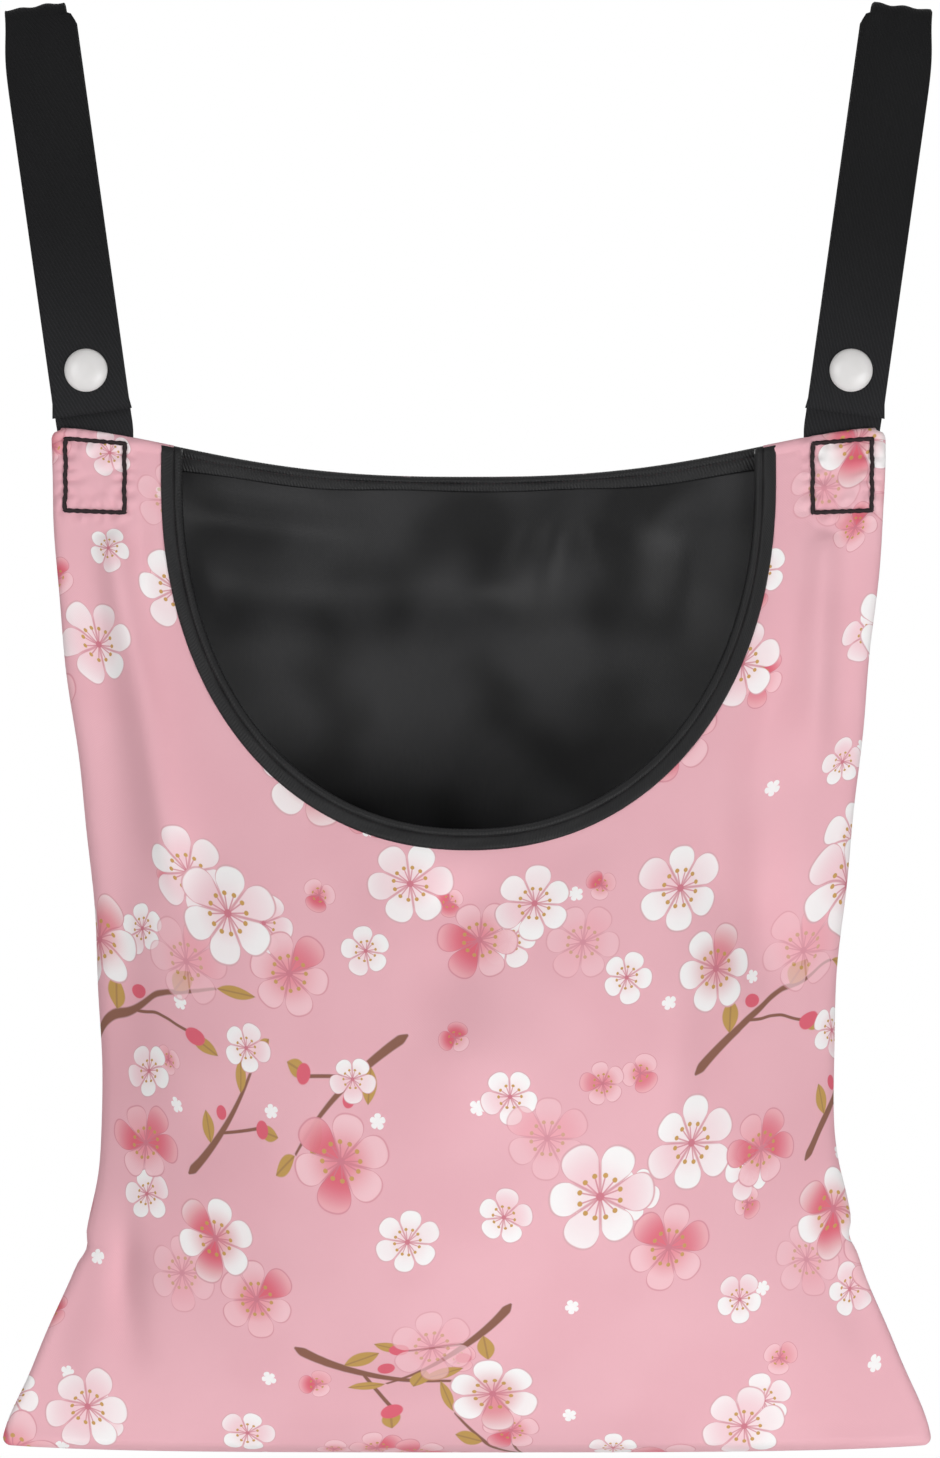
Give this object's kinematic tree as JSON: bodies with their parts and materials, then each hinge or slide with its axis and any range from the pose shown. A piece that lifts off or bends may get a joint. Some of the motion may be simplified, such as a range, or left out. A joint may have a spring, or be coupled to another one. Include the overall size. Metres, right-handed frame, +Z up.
{
  "type": "peg bag",
  "caption": "Lined cloth pouch with a half-round front mouth, bound edges and snap-fastened webbing loops that hang it on a washing line.",
  "frame": {"origin": "on the line that the bag hangs from, midway between the two loops, level with the underside of their crowns", "axes": "+X to the viewer's right along the line, +Z up, the front with the mouth faces -Y"},
  "size_m": [0.3136, 0.0835, 0.4838],
  "materials": {
    "printed_cloth": "printed cotton with a floral repeat",
    "lining": "smooth satin lining",
    "binding": "folded bias tape",
    "webbing": "twill webbing",
    "thread": "matt sewing thread",
    "press_stud": "pearly gloss"
  },
  "bodies": {
    "bag": {"front_outer": "printed_cloth", "front_lining": "lining", "back_lining": "lining", "back_outer": "printed_cloth", "mouth_binding": "binding", "back_top_binding": "binding", "left_side_seam": "lining", "right_side_seam": "lining", "bottom_seam": "lining", "left_strap_anchor": "webbing", "right_strap_anchor": "webbing", "left_box_stitch": "thread", "right_box_stitch": "thread"},
    "left_strap": {"left_strap_loop": "webbing", "left_snap_stud": "press_stud", "left_snap_back_cap": "press_stud"},
    "left_tab": {"left_strap_tab": "webbing", "left_snap_cap": "press_stud", "left_snap_socket": "press_stud"},
    "right_strap": {"right_strap_loop": "webbing", "right_snap_stud": "press_stud", "right_snap_back_cap": "press_stud"},
    "right_tab": {"right_strap_tab": "webbing", "right_snap_cap": "press_stud", "right_snap_socket": "press_stud"}
  },
  "joints": [
    {"name": "left_strap_fold", "type": "hinge", "parent": "bag", "child": "left_strap", "pos_m": [-0.12537, 0.0052, -0.13471], "axis": [0.9905, 0, 0.1374], "range_deg": [-120, 55]},
    {"name": "left_tab_open", "type": "hinge", "parent": "left_strap", "child": "left_tab", "pos_m": [-0.14334, -0.0052, -0.00515], "axis": [-0.9905, 0, -0.1374], "range_deg": [0, 120]},
    {"name": "right_strap_fold", "type": "hinge", "parent": "bag", "child": "right_strap", "pos_m": [0.12537, 0.0052, -0.13471], "axis": [0.9905, 0, -0.1374], "range_deg": [-120, 55]},
    {"name": "right_tab_open", "type": "hinge", "parent": "right_strap", "child": "right_tab", "pos_m": [0.14334, -0.0052, -0.00515], "axis": [-0.9905, 0, 0.1374], "range_deg": [0, 120]}
  ]
}
